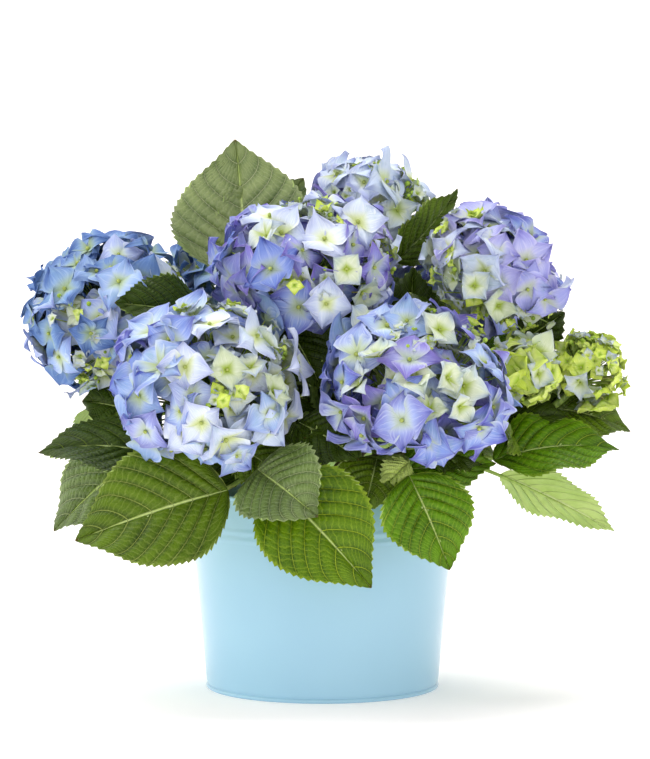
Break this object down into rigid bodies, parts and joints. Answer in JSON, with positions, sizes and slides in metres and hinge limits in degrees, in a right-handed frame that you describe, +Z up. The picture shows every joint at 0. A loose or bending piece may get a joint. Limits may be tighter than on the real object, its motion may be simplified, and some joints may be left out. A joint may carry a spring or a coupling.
{
  "type": "potted hydrangea shrub",
  "caption": "Flowering mophead hydrangea in a pale blue painted metal pot: rounded blue and lilac flower heads over broad toothed leaves.",
  "frame": {"origin": "the middle of the pot's flat underside, where the plant stands", "axes": "+Z up along the pot's axis; -Y the side that the fullest flower heads face; +X to the right of that view"},
  "size_m": [0.4173, 0.3147, 0.37],
  "materials": {
    "pot_paint": "smooth gloss paint, pale sky blue, on pressed sheet steel",
    "soil": "matt, dark brown, crumbly potting soil",
    "bark": "matt, fissured grey-brown bark",
    "green_cane": "satin, green with reddish brown specks",
    "leaf": "satin, deep green, netted with paler veins",
    "blue_petals": "soft matt petals, periwinkle blue paling to cream at the eye",
    "denim_petals": "soft matt petals, sky blue paling to cream at the eye",
    "lilac_petals": "soft matt petals, lilac blue paling to cream at the eye",
    "pale_petals": "soft matt young petals, cream and pale green washed with blue",
    "lime_buds": "soft matt buds and small young petals, lime green"
  },
  "bodies": {
    "root": {"pot": "pot_paint", "soil": "soil", "crown": "bark", "cane_left": "green_cane", "cane_front_left": "green_cane", "cane_upper_middle": "green_cane", "cane_top_back": "green_cane", "cane_upper_right": "green_cane", "cane_front_right": "green_cane", "cane_back_left": "green_cane", "cane_back_right": "green_cane", "cane_right_bud": "green_cane", "cane_right_young": "green_cane", "flowers_left": "denim_petals", "flowers_front_left": "blue_petals", "flowers_upper_middle": "blue_petals", "flowers_top_back": "pale_petals", "flowers_upper_right": "lilac_petals", "flowers_front_right": "blue_petals", "flowers_back_left": "denim_petals", "flowers_back_right": "lilac_petals", "flowers_right_bud": "lime_buds", "flowers_right_young": "pale_petals", "foliage_left": "leaf", "foliage_front_left": "leaf", "foliage_upper_middle": "leaf", "foliage_top_back": "leaf", "foliage_upper_right": "leaf", "foliage_front_right": "leaf", "foliage_back_left": "leaf", "foliage_back_right": "leaf", "foliage_right_bud": "leaf", "foliage_right_young": "leaf"}
  },
  "joints": []
}
